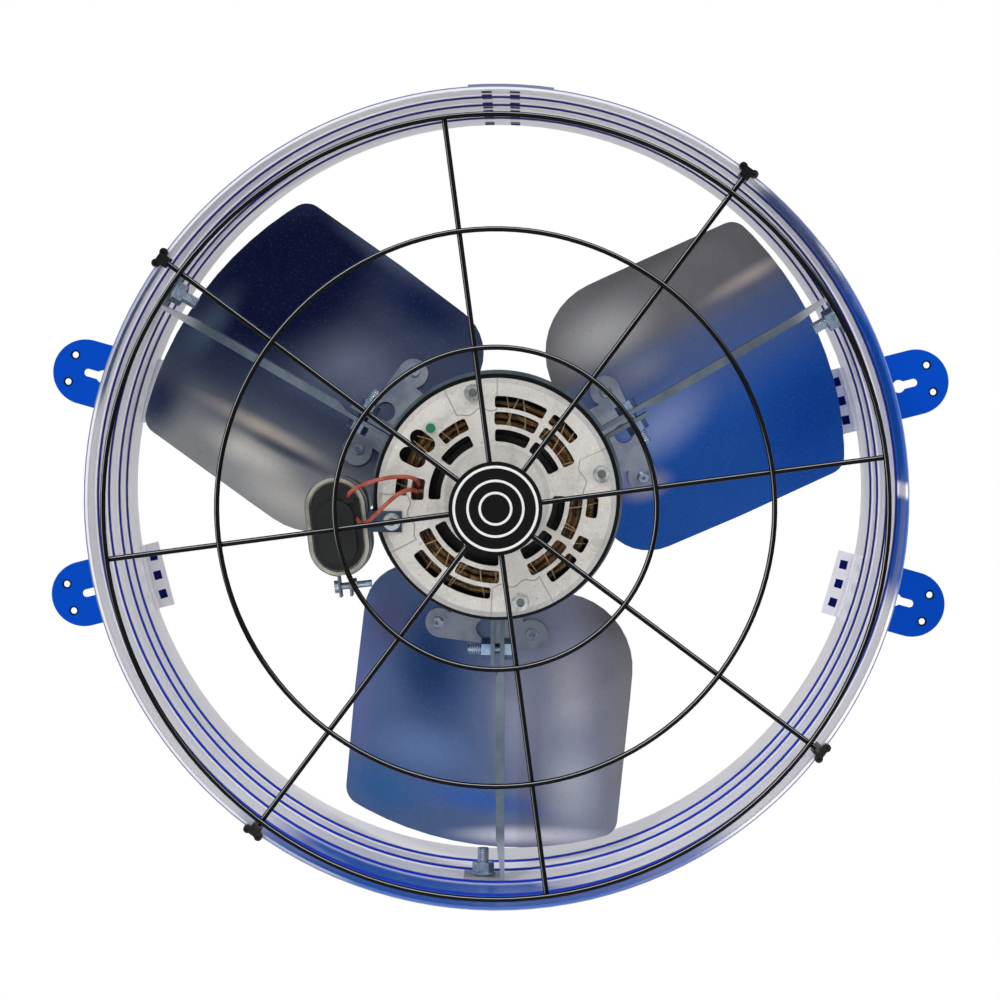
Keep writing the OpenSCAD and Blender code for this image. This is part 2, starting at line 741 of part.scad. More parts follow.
// Capacitor: an oval can whose end faces the guard
cap_x = shell_r + cap_gap + cap_strap_t + cap_w / 2;
cap_front = motor_depth + 9;
cap_back = cap_front + cap_len;
cap_rim = 2;

module cap_place() {
    translate([-cap_x, 0, -cap_drop]) rotate([0, -cap_tilt, 0]) children();
}

module oval(w, h) {
    for (s = [-1, 1]) translate([0, s * (h - w) / 2]) circle(d = w);
    translate([-w / 2, -(h - w) / 2]) square([w, h - w]);
}

module capacitor_can() {
    color([0.78, 0.77, 0.72]) cap_place() difference() {
        slab(cap_front, cap_back) oval(cap_w, cap_h);
        slab(cap_front - 1, cap_front + 4) oval(cap_w - 2 * cap_rim, cap_h - 2 * cap_rim);
    }
}

module capacitor_boot() {
    boot_w = cap_w - 2 * cap_rim - 2;
    boot_h = cap_h - 2 * cap_rim - 2;
    color([0.06, 0.06, 0.06]) cap_place() union() {
        slab(cap_front - 3, cap_front + 4 - seat_gap) oval(boot_w, boot_h);
        slab(cap_front - 9, cap_front - 3) translate([0, -3]) oval(boot_w - 7, boot_h - 13);
        slab(cap_front - 7, cap_front - 3) translate([8.5, boot_h / 2 - 8]) circle(r = 4.2, $fn = 32);
    }
}

// The strap goes round the can and closes with two legs and a screw below it
strap_front = cap_front + 8;
strap_back = strap_front + cap_strap_w;
leg_gap = 5;
leg_len = 13;
leg_hole = 7;
strap_screw_d = 4;
strap_screw_l = 19;
strap_head_d = 7.4;
strap_head_t = 2.6;
strap_nut_d = 8;
strap_nut_t = 3;

module capacitor_strap() {
    w = cap_w + 2 * seat_gap;
    h = cap_h + 2 * seat_gap;
    color([0.6, 0.63, 0.66]) cap_place() difference() {
        slab(strap_front, strap_back) difference() {
            union() {
                oval(w + 2 * cap_strap_t, h + 2 * cap_strap_t);
                translate([-leg_gap / 2 - cap_strap_t, -h / 2 - leg_len])
                    square([leg_gap + 2 * cap_strap_t, leg_len + 2]);
            }
            oval(w, h);
            translate([-leg_gap / 2, -h / 2 - leg_len - 1]) square([leg_gap, leg_len + 3]);
        }
        translate([0, front_y + (strap_front + strap_back) / 2, -h / 2 - leg_hole]) rotate([0, 90, 0])
            cylinder(d = strap_screw_d + 0.4, h = cap_w, center = true, $fn = 32);
    }
}

module strap_screw() {
    side = leg_gap / 2 + cap_strap_t + seat_gap;
    color([0.6, 0.72, 0.75]) cap_place()
        translate([-side, front_y + (strap_front + strap_back) / 2, -cap_h / 2 - seat_gap - leg_hole])
        union() {
            rotate([0, 90, 0]) cylinder(d = strap_screw_d, h = strap_screw_l, $fn = 32);
            rotate([0, -90, 0]) cylinder(d = strap_head_d, h = strap_head_t, $fn = 32);
        }
}

module strap_nut() {
    side = leg_gap / 2 + cap_strap_t + seat_gap;
    color([0.6, 0.63, 0.66]) cap_place()
        translate([side, front_y + (strap_front + strap_back) / 2, -cap_h / 2 - seat_gap - leg_hole])
            rotate([0, 90, 0]) difference() {
                cylinder(d = strap_nut_d, h = strap_nut_t, $fn = 6);
                translate([0, 0, -1])
                    cylinder(d = strap_screw_d + 2 * seat_gap, h = strap_nut_t + 2, $fn = 32);
            }
}

// The bracket is a bent tab from the strap's side to the left through bolt
module capacitor_bracket() {
    bolt_x = through_r * cos(through_angle + 180);
    bolt_z = through_r * sin(through_angle + 180);
    edge_x = -shell_r - cap_gap + 0.5;
    tab_front = bell_front - seat_gap - tab_t;
    color([0.45, 0.5, 0.54]) difference() {
        union() {
            translate([edge_x, front_y + tab_front, bolt_z - tab_w / 2])
                cube([bolt_x + through_nut_af * 0.7 - edge_x, tab_t, tab_w]);
            translate([edge_x, front_y + tab_front, bolt_z - tab_w / 2])
                cube([tab_t, strap_back - tab_front, tab_w]);
        }
        translate([bolt_x, 0, bolt_z]) rod(through_d / 2 + bolt_gap, bell_front - 8, bell_front);
    }
}

// Lead wires: swept tubes with eight sides
function unit(v) = v / norm(v);
function tube_ring(p, dir) = let (side = unit(cross(dir, [0, 0.31, 1])), up = cross(side, dir))
    [for (k = [0:7]) p + lead_d / 2 * (side * cos(45 * k) + up * sin(45 * k))];
function curve_point(c, t) = c[0] * pow(1 - t, 3) + c[1] * 3 * t * pow(1 - t, 2)
    + c[2] * 3 * t * t * (1 - t) + c[3] * pow(t, 3);
lead_rings = 14;

module lead(curve) {
    pts = [for (i = [0:lead_rings]) curve_point(curve, i / lead_rings)];
    dirs = [for (i = [0:lead_rings]) unit(pts[min(i + 1, lead_rings)] - pts[max(i - 1, 0)])];
    points = [for (i = [0:lead_rings]) each tube_ring(pts[i], dirs[i])];
    sides = [for (i = [0:lead_rings - 1], k = [0:7]) let (a = i * 8 + k, b = i * 8 + (k + 1) % 8)
        each [[a, b + 8, b], [a, a + 8, b + 8]]];
    caps = [for (k = [1:6]) each [[0, k, k + 1],
        [lead_rings * 8, lead_rings * 8 + k + 1, lead_rings * 8 + k]]];
    color([0.75, 0.22, 0.12]) polyhedron(points, concat(sides, caps));
}

// Both leads end in the vent slot at the left of the bell
lead_end = [-44.5, front_y + bell_front + 6, 5];

module lead_upper() {
    lead([[-84.6, front_y + cap_front - 7.4, -0.1], [-82, front_y + 22, 8], [-44, front_y + 18, 18],
        lead_end + [0, 0, 1.5]]);
}

module lead_lower() {
    lead([[-79.6, front_y + cap_front - 3.5, -13.2], [-72, front_y + 14, -24], [-57, front_y + 8, 12],
        lead_end + [0, 0, -2.5]]);
}

// Rotor
hub_front = blade_depth - camber - 1;
flange_r = hub_r + 8;
shaft_back = hub_front + hub_len + 8;

module motor_shaft() {
    color([0.75, 0.76, 0.78]) rod(shaft_d / 2, bell_front + 1.5, shaft_back);
}

module rotor_core() {
    core_r = stator_bore_r - air_gap;
    color([0.16, 0.16, 0.17]) turned() union() {
        band(shaft_d / 2 + seat_gap, core_r, core_front - 1, core_back + 1);
        band(core_r - 9, core_r, core_front - 9, core_back + 6);
    }
}

module fan_hub() {
    mid = hub_front + hub_len * 0.65;
    color([0.6, 0.62, 0.65]) difference() {
        union() {
            turned() band(shaft_d / 2 + seat_gap, hub_r, hub_front, hub_front + hub_len);
            turned() band(shaft_d / 2 + seat_gap, flange_r, hub_front, hub_front + 4);
        }
        translate([shaft_d / 2, front_y + mid, 0]) rotate([0, 90, 0]) cylinder(d = 6.4, h = hub_r, $fn = 32);
    }
}

module hub_set_screw() {
    mid = hub_front + hub_len * 0.65;
    color([0.2, 0.2, 0.22]) translate([shaft_d / 2 + seat_gap, front_y + mid, 0]) rotate([0, 90, 0])
        cylinder(d = 6.3, h = hub_r - shaft_d / 2 + 3, $fn = 32);
}

// The blades' surface is a band between two cylinders whose axes lie along the radius
arc_half = 92;
foil_room = 70;
arc_r = (arc_half * arc_half + camber * camber) / (2 * camber);
arc_centre = [(arc_r - camber) * cos(pitch), (arc_r - camber) * sin(pitch)];

// Depth of the blade's front surface at a distance along the direction of turning
function foil_root(z) = sqrt(arc_r * arc_r - pow(z - arc_centre[1], 2));
function foil_depth(z) = blade_depth + arc_centre[0] - foil_root(z);

// The two rivet places of the blade at an angle, with +Z out of its front surface
module at_rivets(a) {
    for (s = [-1, 1]) {
        z = s * rivet_half_gap;
        polar(a) translate([rivet_r, front_y + foil_depth(z), z])
            rotate([atan2(1, (z - arc_centre[1]) / foil_root(z)), 0, 0]) children();
    }
}

// Drawn in depth and the direction of turning, extruded along the radius
module foil(front, t, r0, r1) {
    translate([r0, front_y + blade_depth, 0]) rotate([0, 90, 0]) rotate([0, 0, 90])
        linear_extrude(r1 - r0) intersection() {
            difference() {
                translate([arc_centre[0], arc_centre[1]]) circle(r = arc_r - front, $fn = 256);
                translate([arc_centre[0], arc_centre[1]]) circle(r = arc_r - front - t, $fn = 256);
            }
            translate([-foil_room, -1.3 * arc_half]) square([2 * foil_room, 2.6 * arc_half]);
        }
}

// The blade's outline seen along the axis: +Y of the drawing is the leading side
tip_parts = 12;
tip_corner_r = 11;

module blade_outline() {
    trail_x = sqrt(tip_r * tip_r - trail_w * trail_w);
    trail_turn = atan2(-trail_w, trail_x);
    lead_turn = asin(lead_tip_w / tip_r);
    tip_arc = [for (i = [1:tip_parts - 1]) let (a = trail_turn + (lead_turn - trail_turn) * i / tip_parts)
        tip_r * [cos(a), sin(a)]];
    rounded(
        concat(
            [[root_r - 12, -trail_root_w], [root_r + 70, -trail_w], [trail_x, -trail_w]],
            tip_arc,
            [tip_r * [cos(lead_turn), sin(lead_turn)], [root_r + 55, lead_root_w], [root_r, lead_root_w]]
        ),
        concat([32, 0, tip_corner_r], [for (i = [1:tip_parts - 1]) 0], [tip_corner_r, 0, 44])
    );
}

module blade(a) {
    color([0.45, 0.5, 0.6]) polar(a) difference() {
        intersection() {
            foil(0, blade_t, root_r - 20, tip_r + 5);
            slab(blade_depth - foil_room, blade_depth + foil_room) blade_outline();
        }
        at_rivets(0) cylinder(d = rivet_d + 2 * seat_gap, h = 20, center = true);
    }
}

module blade_1() { blade(blade_turns[0]); }
module blade_2() { blade(blade_turns[1]); }
module blade_3() { blade(blade_turns[2]); }

// One lobed pad of the spider, seen along the axis
module pad_outline() {
    lobe_r = 9;
    hole_r = 6;
    root_w = 30;
    web_w = 44;
    web_back = 16;
    web_len = 10;
    difference() {
        union() {
            for (s = [-1, 1]) translate([rivet_r, s * rivet_half_gap]) circle(r = lobe_r, $fn = 48);
            translate([rivet_r - lobe_r + 2, -rivet_half_gap]) square([2 * lobe_r - 2, 2 * rivet_half_gap]);
            translate([flange_r, -root_w / 2]) square([rivet_r - flange_r, root_w]);
            translate([rivet_r - web_back, -web_w / 2]) square([web_len, web_w]);
        }
        translate([rivet_r, 0]) circle(r = hole_r, $fn = 48);
    }
}

module spider() {
    color([0.5, 0.54, 0.58]) difference() {
        union() {
            for (a = blade_turns) polar(a) intersection() {
                foil(-spider_t - seat_gap, spider_t, flange_r + 0.5, rivet_r + 14);
                slab(blade_depth - foil_room, blade_depth + foil_room) pad_outline();
            }
            turned() band(0, flange_r + 10, hub_front - spider_t - 1, hub_front - seat_gap);
        }
        rod(shaft_d / 2 + 0.5, hub_front - 30, hub_front + 30);
        for (a = blade_turns) at_rivets(a) cylinder(d = rivet_d + 2 * seat_gap, h = 20, center = true);
    }
}

// A rivet joins a blade to the spider: a shank with a flat head on both sides
module rivets() {
    head_t = 1.5;
    head_d = rivet_d + 3;
    color([0.7, 0.72, 0.75]) for (a = blade_turns) at_rivets(a) difference() {
        union() {
            translate([0, 0, -blade_t - head_t / 2]) cylinder(d = rivet_d, h = blade_t + spider_t + head_t);
            translate([0, 0, spider_t + 2 * seat_gap]) cylinder(d1 = head_d, d2 = head_d - 2, h = head_t);
            translate([0, 0, -blade_t - seat_gap - head_t]) cylinder(d = head_d, h = head_t);
        }
        translate([0, 0, spider_t]) cylinder(d = rivet_d / 2, h = 2 * head_t);
    }
}

shroud();
ear_upper_right();
ear_upper_left();
ear_lower_left();
ear_lower_right();
guard_ring_outer();
guard_ring_middle();
guard_ring_inner();
guard_spokes_long();
guard_spokes_short();
guard_badge_plate();
guard_clips();
arm_right();
arm_left();
arm_bottom();
foot_bolts();
foot_nuts();
clamp_bolts();
clamp_nuts();
motor_shell();
end_bell_front();
end_bell_rear();
stator_core();
winding_front();
winding_rear();
bearing_front();
bearing_rear();
through_bolts();
through_nuts();
ground_screw();
capacitor_can();
capacitor_boot();
capacitor_strap();
capacitor_bracket();
strap_screw();
strap_nut();
lead_upper();
lead_lower();
motor_shaft();
rotor_core();
fan_hub();
hub_set_screw();
spider();
blade_1();
blade_2();
blade_3();
rivets();
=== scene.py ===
import math

import bpy
from mathutils import Matrix, Vector


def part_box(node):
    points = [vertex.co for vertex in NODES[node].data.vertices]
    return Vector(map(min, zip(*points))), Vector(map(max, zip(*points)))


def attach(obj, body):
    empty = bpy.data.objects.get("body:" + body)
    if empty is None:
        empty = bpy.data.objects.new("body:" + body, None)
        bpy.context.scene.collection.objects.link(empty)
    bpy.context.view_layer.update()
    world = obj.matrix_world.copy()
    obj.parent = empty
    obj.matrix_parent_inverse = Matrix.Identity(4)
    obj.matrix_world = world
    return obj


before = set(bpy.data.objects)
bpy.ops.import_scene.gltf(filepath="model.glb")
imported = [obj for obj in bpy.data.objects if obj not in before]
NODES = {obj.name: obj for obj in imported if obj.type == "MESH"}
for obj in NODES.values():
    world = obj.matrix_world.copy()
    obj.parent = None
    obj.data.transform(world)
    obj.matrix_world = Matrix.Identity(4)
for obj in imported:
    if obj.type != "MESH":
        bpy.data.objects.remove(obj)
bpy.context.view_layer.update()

MM = 0.001

# Photograph's width in pixels, and the lens's length in the same pixels
PHOTO = 1000
FOCAL = 2772.0
SENSOR = 36.0

# Shroud: where its front edge is, its depth and its inner radius, in metres
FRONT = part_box("shroud")[0][1]
SHROUD_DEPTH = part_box("shroud")[1][1] - FRONT
SHEET = 1.0 * MM
IN_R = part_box("shroud")[1][0] - SHEET
POCKET_DEPTH = 0.5 * MM
BEAD_PLACES = (0.18, 0.38, 0.58, 0.73)
CLINCH_ANGLES = (88.1, 92.1)
CLINCH_ROWS = ((0.008, 0.028), (0.035, 0.060), (0.077, 0.110),
               (0.119, 0.146), (0.150, 0.176), (0.188, 0.2095))
CLINCH_HALF = 0.70

# Ears: their angle, the two small holes, and the three clinches on the lip
EAR_ANGLE = 15.0
EAR_HOLE_R = 0.279
EAR_HOLE_GAP = 0.0174
EAR_RIM_R = 3.4
LIP_CLINCH_TURN = 3.17
LIP_CLINCH_R = 0.2220
LIP_CLINCH_HALF = 0.0023

# Arms and their bolts: angles, the bolts' depth, and where the threads start
ARM_ANGLES = (30.7, 150.7, 270.7)
BOLT_DEPTH = 0.096
FOOT_THREAD = (0.2161, -0.0085)
CLAMP_THREAD = (0.091, -0.0098)
THREAD_PITCH = 1.27 * MM
THREAD_R = 3.12 * MM
THREAD_TURNS = 5.6
THREAD_STEPS = 14

# Wires: how far the painted highlight stripe is turned to the front
WIRE_HIGHLIGHT = 0.86

# Badge: inner and outer radius of each raised ring in millimetres, and the rings' height and bevel
BADGE_RINGS = ((22.3, 23.8), (14.7, 16.1), (8.0, 9.4))
RING_HEIGHT = 0.25
RING_BEVEL = 0.15
RING_STEPS = 96

# Lacing of the winding: number of cords, their front, their reach and their points
CORDS = 42
CORD_DEPTH = 0.0485
CORD_FROM_R = 0.0400
CORD_REACH = 0.0170
CORD_STEPS = 8

# Light: the world's strength as seen, on the object, and what gloss sees less of
WORLD_SEEN = 1.0
WORLD_LEVEL = 0.78
WORLD_GLOSS = -0.38
AIM = (0.0, -0.1, 0.0)
FLOOR_X = 1.5
FLOOR_FRONT, FLOOR_BACK = -1.7, 1.15
FLOOR_Z = -0.62
FLOOR_SEEN = 0.93


# Camera: set from where lines along +Y meet in the photograph and the size of the front rim
def make_camera():
    vanishing = (20.0, 100.0)
    roll = math.radians(-0.7)
    y_axis = Vector((*vanishing, -FOCAL)).normalized()
    x_axis = Vector((math.cos(roll), math.sin(roll), 0.0))
    x_axis = (x_axis - x_axis.dot(y_axis) * y_axis).normalized()
    z_axis = x_axis.cross(y_axis)
    to_camera = Matrix((x_axis, y_axis, z_axis)).transposed()
    data = bpy.data.cameras.new("camera")
    data.sensor_width = SENSOR
    data.lens = FOCAL * SENSOR / PHOTO
    data.clip_start, data.clip_end = 0.05, 50.0
    cam = bpy.data.objects.new("camera", data)
    bpy.context.scene.collection.objects.link(cam)
    place = Matrix.Translation((0.0125, FRONT - 1.533, 0.0556))
    cam.matrix_world = place @ to_camera.transposed().to_4x4()
    bpy.context.scene.camera = cam


# Colours are written as they look, and turned to linear values here
def rgb(r, g, b):
    def one(c):
        c = c / 255.0
        return c / 12.92 if c <= 0.04045 else ((c + 0.055) / 1.055) ** 2.4
    return (one(r), one(g), one(b), 1.0)


class Paint:
    """A Principled material whose inputs are drawn in the object's own space."""

    def __init__(self, name, colour, rough=0.5, metal=0.0, **sockets):
        self.m = bpy.data.materials.new(name)
        self.m.use_nodes = True
        self.t = self.m.node_tree
        self.b = self.t.nodes["Principled BSDF"]
        self.b.inputs["Roughness"].default_value = rough
        self.b.inputs["Metallic"].default_value = metal
        for k, v in sockets.items():
            self.b.inputs[k.replace("_", " ")].default_value = v
        self.b.inputs["Base Color"].default_value = colour
        self.colour = colour
        self.co = self.new("ShaderNodeTexCoord").outputs["Object"]
        self.height = None

    def new(self, kind, **props):
        n = self.t.nodes.new(kind)
        for k, v in props.items():
            setattr(n, k, v)
        return n

    def put(self, socket, value):
        if isinstance(value, bpy.types.NodeSocket):
            self.t.links.new(value, socket)
        else:
            socket.default_value = value

    def math(self, op, a, b=0.0, c=None):
        n = self.new("ShaderNodeMath", operation=op)
        self.put(n.inputs[0], a)
        self.put(n.inputs[1], b)
        if c is not None:
            self.put(n.inputs[2], c)
        return n.outputs[0]

    def span(self, value, a, b, c=0.0, d=1.0):
        """The value taken from the range a to b onto the range c to d, with soft ends."""
        n = self.new("ShaderNodeMapRange", interpolation_type="SMOOTHSTEP")
        for i, v in enumerate((value, a, b, c, d)):
            self.put(n.inputs[i], v)
        return n.outputs[0]

    def noise(self, scale, detail=3.0, rough=0.55, stretch=None, warp=0.0):
        n = self.new("ShaderNodeTexNoise")
        n.inputs["Scale"].default_value = scale
        n.inputs["Detail"].default_value = detail
        n.inputs["Roughness"].default_value = rough
        n.inputs["Distortion"].default_value = warp
        self.put(n.inputs["Vector"], self.stretched(stretch) if stretch else self.co)
        return n.outputs["Fac"]

    def stretched(self, scale):
        n = self.new("ShaderNodeMapping")
        n.inputs["Scale"].default_value = scale
        self.put(n.inputs["Vector"], self.co)
        return n.outputs[0]

    def near(self, value, middle, half, soft):
        """1 where a value is within half of the middle, 0 outside that, with a soft edge."""
        off = self.math("ABSOLUTE", self.math("SUBTRACT", value, middle))
        return self.span(off, half + soft, half)

    def both(self, a, b):
        return self.math("MULTIPLY", a, b)

    def axes(self):
        n = self.new("ShaderNodeSeparateXYZ")
        self.put(n.inputs[0], self.co)
        return n.outputs

    def polar(self):
        """Radius, angle and depth behind the shroud's front edge."""
        x, y, z = self.axes()
        radius = self.math("SQRT", self.math("ADD", self.both(x, x), self.both(z, z)))
        return radius, self.math("ARCTAN2", z, x), self.math("SUBTRACT", y, FRONT)

    def spot(self, place, size, turn=0.0, soft=0.6):
        """1 inside an ellipse in X and Z, 0 outside it, with a soft edge. Millimetres and degrees."""
        n = self.new("ShaderNodeMapping", vector_type="TEXTURE")
        n.inputs["Location"].default_value = (place[0] * MM, 0.0, place[1] * MM)
        n.inputs["Rotation"].default_value = (0.0, -math.radians(turn), 0.0)
        n.inputs["Scale"].default_value = (size[0] * MM, 100.0, size[1] * MM)
        self.put(n.inputs["Vector"], self.co)
        length = self.new("ShaderNodeVectorMath", operation="LENGTH")
        self.put(length.inputs[0], n.outputs[0])
        return self.span(length.outputs["Value"], 1.0, 1.0 - soft)

    def half(self, place, turn, soft):
        """0 on the left of a line through a point in X and Z, 1 on its right, over a soft width in mm."""
        x, y, z = self.axes()
        a = math.radians(turn)
        dx = self.math("SUBTRACT", x, place[0] * MM)
        dz = self.math("SUBTRACT", z, place[1] * MM)
        across = self.math("SUBTRACT", self.both(dx, math.sin(a)), self.both(dz, math.cos(a)))
        return self.span(across, -soft * MM / 2, soft * MM / 2)

    def sector(self, angle, centre, half, soft):
        """1 near an angle in degrees, seen from the guard side."""
        turned = self.math("SUBTRACT", angle, math.radians(centre))
        wrapped = self.math("ABSOLUTE", self.math("WRAP", turned, math.pi, -math.pi))
        return self.span(wrapped, math.radians(half + soft), math.radians(half))

    def over(self, colour, factor):
        n = self.new("ShaderNodeMix", data_type="RGBA")
        self.put(n.inputs[0], factor)
        self.put(n.inputs[6], self.colour)
        self.put(n.inputs[7], colour)
        self.colour = n.outputs[2]
        self.put(self.b.inputs["Base Color"], self.colour)

    def rough(self, value):
        self.put(self.b.inputs["Roughness"], value)

    def bump(self, height, distance, strength=1.0):
        n = self.new("ShaderNodeBump")
        n.inputs["Distance"].default_value = distance
        n.inputs["Strength"].default_value = strength
        self.put(n.inputs["Height"], height)
        if self.height is not None:
            self.put(n.inputs["Normal"], self.height)
        self.height = n.outputs[0]
        self.put(self.b.inputs["Normal"], self.height)


def paint_node(paint, *names):
    for name in names:
        o = NODES[name]
        o.data.materials.clear()
        o.data.materials.append(paint.m)


# Shroud: smooth coated steel, pale lavender grey, with blue reflections and shade painted into its colour on
# the inner wall, beads, clinches and front edge
def shroud_paint():
    p = Paint("shroud_steel", rgb(252, 251, 253), 0.30, 0.0, Specular_IOR_Level=0.5)
    radius, angle, depth = p.polar()
    wash = p.noise(9.0, 2.0)
    p.over(rgb(232, 230, 240), p.span(wash, 0.35, 0.75, 0.0, 0.8))
    cloud = p.span(p.noise(16.0, 2.0), 0.30, 0.46, 0.55, 1.0)
    inside = p.math("LESS_THAN", radius, IN_R + 0.8 * POCKET_DEPTH)
    first = p.both(p.span(depth, 0.0392, 0.0376), inside)
    second = p.both(p.span(depth, 0.086, 0.070), inside)
    rim = p.both(p.span(depth, 0.024, 0.018), inside)
    # Painted blue reflections on the inner wall, near the first bead, near the second bead and near the rim
    for colour, centre, half, soft, zone in (
        (rgb(74, 88, 136), 40.0, 8.0, 5.0, first),
        (rgb(0, 78, 176), 10.0, 20.0, 6.0, first),
        (rgb(92, 116, 196), -84.0, 22.0, 12.0, first),
        (rgb(26, 92, 194), -99.0, 22.0, 10.0, first),
        (rgb(34, 96, 192), -100.0, 15.0, 12.0, second),
        (rgb(84, 104, 140), 156.0, 8.0, 5.0, rim),
    ):
        p.over(colour, p.both(p.both(p.sector(angle, centre, half, soft), zone), cloud))
    # A pale painted reflection line through the blue at 2 degrees
    p.over(rgb(240, 242, 250), p.both(p.sector(angle, 2.0, 0.5, 1.0), first))
    # Painted blue reflections along the beads, a brighter blue over the lower part
    lower = p.sector(angle, -95.0, 50.0, 40.0)
    for place in BEAD_PLACES:
        line = p.both(p.near(depth, place * SHROUD_DEPTH - 0.0004, 0.0014, 0.0007), inside)
        p.over(rgb(6, 16, 112), line)
        p.over(rgb(4, 50, 190), p.both(line, lower))
    # Painted shade and blue reflection in the clinch pockets and on the bead flanks beside them
    pocket = p.math("LESS_THAN", radius, IN_R + 1.6 * POCKET_DEPTH)
    for a in CLINCH_ANGLES:
        column = p.both(p.sector(angle, a, CLINCH_HALF, 0.06), pocket)
        for start, end in CLINCH_ROWS:
            row = p.near(depth, (start + end) / 2.0, (end - start) / 2.0, 0.0003)
            p.over(rgb(12, 20, 92), p.both(column, row))
    outside = p.span(radius, IN_R + 0.6 * SHEET, IN_R + 0.9 * SHEET)
    p.over(rgb(206, 209, 214), p.both(outside, p.span(p.noise(90.0, 3.0), 0.3, 0.7, 0.5, 0.9)))
    # Painted shade on the front edge, over all but its right and lower right
    front = p.span(depth, 0.0008, 0.0003)
    front_shade = p.math("SUBTRACT", 0.6, p.sector(angle, -30.0, 75.0, 10.0))
    p.over(rgb(196, 196, 208), p.both(front, front_shade))
    # Painted blue reflection on the outer part of the front edge
    outer = p.span(radius, IN_R + 0.2 * SHEET, IN_R + 0.4 * SHEET, 0.0, 0.9)
    p.over(rgb(84, 98, 138), p.both(front, outer))
    p.rough(p.span(wash, 0.3, 0.7, 0.24, 0.36))
    p.bump(p.noise(420.0, 2.0, 0.6), 0.00005, 0.25)
    paint_node(p, "shroud")


# Ears: blue outside the shroud; the leg and the lip inside it are as pale as the shroud
def ear_paint():
    p = Paint("blue_paint", rgb(0, 72, 188), 0.45, 0.0, Specular_IOR_Level=0.03)
    p.over(rgb(0, 60, 170), p.both(p.noise(30.0, 3.0), 0.4))
    radius, angle, _ = p.polar()
    p.over(rgb(244, 243, 248), p.math("LESS_THAN", radius, IN_R - 0.05 * SHEET))
    # Painted shade and blue reflection in the lip's clinch marks
    row = p.near(radius, LIP_CLINCH_R, LIP_CLINCH_HALF, 0.0003)
    for a in (EAR_ANGLE, 180.0 - EAR_ANGLE, EAR_ANGLE - 180.0, -EAR_ANGLE):
        for turn in (-LIP_CLINCH_TURN, 0.0, LIP_CLINCH_TURN):
            p.over(rgb(12, 20, 96), p.both(p.sector(angle, a + turn, 0.69, 0.05), row))
        out, side = around(a)
        for s in (-1.0, 1.0):
            place = (out * EAR_HOLE_R + side * (s * EAR_HOLE_GAP / 2.0)) / MM
            p.over(rgb(10, 14, 30), p.spot((place.x, place.z), (EAR_RIM_R, EAR_RIM_R), 0, 0.25))
    p.bump(p.noise(900.0, 2.0), 0.00005, 0.3)
    paint_node(p, "ear_upper_right", "ear_upper_left", "ear_lower_left", "ear_lower_right")


# Guard: black wires, each with a thin painted highlight stripe on the side that faces up and left
def wire_paint():
    p = Paint("black_coating", rgb(3, 3, 4), 0.2, 0.0, Specular_IOR_Level=0.1)
    p.over(rgb(12, 11, 11), p.both(p.noise(60.0, 3.0), 0.4))
    # Painted highlight: a thin light stripe where the normal faces the front, up and left
    normal = p.new("ShaderNodeSeparateXYZ")
    p.put(normal.inputs[0], p.new("ShaderNodeNewGeometry").outputs["Normal"])
    lit_side = p.math("SUBTRACT", normal.outputs["Z"], p.both(normal.outputs["X"], 0.5))
    highlight_stripe = p.near(normal.outputs["Y"], -WIRE_HIGHLIGHT, 0.05, 0.05)
    p.over(rgb(176, 178, 182), p.both(highlight_stripe, p.span(lit_side, 0.0, 0.3, 0.0, 0.75)))
    p.bump(p.noise(160.0, 2.0), 0.0001, 0.2)
    paint_node(p, "guard_ring_outer", "guard_ring_middle", "guard_ring_inner", "guard_spokes_long",
               "guard_spokes_short")
    p = Paint("badge_black", rgb(8, 8, 9), 0.5, 0.0, Specular_IOR_Level=0.08)
    p.over(rgb(24, 24, 25), p.both(p.noise(120.0, 3.0), 0.5))
    p.bump(p.noise(700.0, 2.0), 0.00008, 0.4)
    paint_node(p, "guard_badge_plate")
    p = Paint("spring_black", rgb(10, 9, 9), 0.3, 0.0, Specular_IOR_Level=0.2)
    p.over(rgb(96, 84, 76), p.span(p.noise(140.0, 4.0), 0.5, 0.75, 0.0, 0.7))
    p.bump(p.noise(500.0, 3.0), 0.0001, 0.5)
    paint_node(p, "guard_clips", "hub_set_screw")


# Plated steel, cloudy in colour and in gloss
def zinc(name, colour, rough, dark, scale=160.0):
    p = Paint(name, colour, rough, 0.75)
    p.over(dark, p.span(p.noise(scale, 4.0, 0.6), 0.35, 0.75, 0.0, 0.8))
    p.rough(p.span(p.noise(scale * 0.4, 3.0), 0.3, 0.7, rough * 0.8, rough * 1.25))
    p.bump(p.noise(scale * 5.0, 2.0), 0.00006, 0.35)
    return p


